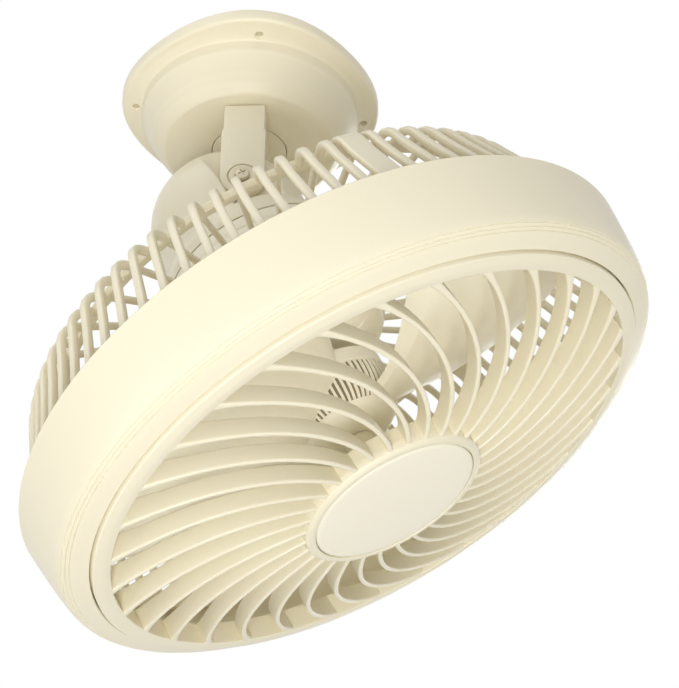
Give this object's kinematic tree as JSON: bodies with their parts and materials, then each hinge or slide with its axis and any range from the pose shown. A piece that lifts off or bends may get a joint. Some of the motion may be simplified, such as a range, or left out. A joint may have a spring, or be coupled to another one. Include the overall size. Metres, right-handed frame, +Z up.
{
  "type": "orbital ceiling fan",
  "caption": "Ceiling-mounted orbiting fan: a geared neck turns a yoke in which a caged fan head tilts.",
  "frame": {"origin": "centre of the canopy's ceiling face, on the neck's turning axis", "axes": "+Z up into the ceiling along the neck's axis, +X the way the fan head is turned and tilted as modelled, +Y along the tilt axis"},
  "size_m": [0.3388, 0.3668, 0.3369],
  "materials": {
    "ivory_plastic": "satin moulded",
    "badge_plastic": "gloss moulded",
    "steel": "zinc plated",
    "brass": "turned",
    "copper": "enamelled wire",
    "nylon": "moulded",
    "dark_plastic": "moulded"
  },
  "bodies": {
    "ceiling_unit": {"ceiling_canopy": "ivory_plastic", "drive_chassis": "steel", "chassis_screw_1": "steel", "chassis_screw_2": "steel", "chassis_screw_3": "steel", "neck_bearing_lower": "steel", "neck_bearing_upper": "steel", "orbit_motor": "steel", "orbit_motor_screw_1": "steel", "orbit_motor_screw_2": "steel", "brush_holder": "dark_plastic", "carbon_brush_lower": "dark_plastic", "carbon_brush_upper": "dark_plastic", "terminal_block": "nylon", "run_capacitor": "dark_plastic"},
    "pinion": {"orbit_pinion": "nylon"},
    "neck": {"neck_spindle": "steel", "orbit_gear": "nylon", "slip_ring_drum": "dark_plastic", "slip_ring_lower": "brass", "slip_ring_upper": "brass", "spindle_circlip": "steel", "yoke": "ivory_plastic", "pivot_bolt_near": "steel", "pivot_bolt_far": "steel", "pivot_washer_near": "steel", "pivot_washer_far": "steel", "friction_washer_near": "nylon", "friction_washer_far": "nylon"},
    "head": {"rear_cover": "ivory_plastic", "bearing_spider": "steel", "motor_housing": "ivory_plastic", "motor_front_cover": "ivory_plastic", "stator_core": "steel", "stator_winding_front": "copper", "stator_winding_rear": "copper", "motor_bearing_front": "steel", "motor_bearing_rear": "steel", "rear_guard": "ivory_plastic", "guard_screw_1": "steel", "guard_screw_2": "steel", "guard_screw_3": "steel", "guard_screw_4": "steel", "outer_ring": "ivory_plastic", "front_grille": "ivory_plastic", "badge_disc": "badge_plastic"},
    "rotor": {"motor_shaft": "steel", "rotor_core": "steel", "fan_blade_wheel": "ivory_plastic", "blade_nut": "dark_plastic"}
  },
  "joints": [
    {"name": "orbit", "type": "hinge", "parent": "ceiling_unit", "child": "neck", "pos_m": [0, 0, 0], "axis": [0, 0, 1], "continuous": true},
    {"name": "pinion_spin", "type": "hinge", "parent": "ceiling_unit", "child": "pinion", "pos_m": [0.036, 0, 0], "axis": [0, 0, 1], "continuous": true},
    {"name": "tilt", "type": "hinge", "parent": "neck", "child": "head", "pos_m": [0, 0, -0.094], "axis": [0, -1, 0], "range_deg": [-27, 33]},
    {"name": "fan_spin", "type": "hinge", "parent": "head", "child": "rotor", "pos_m": [0.07428, 0, -0.26378], "axis": [-0.454, 0, 0.891], "continuous": true}
  ],
  "couplings": [
    {"joint": "pinion_spin", "follows": "orbit", "ratio": -5}
  ]
}
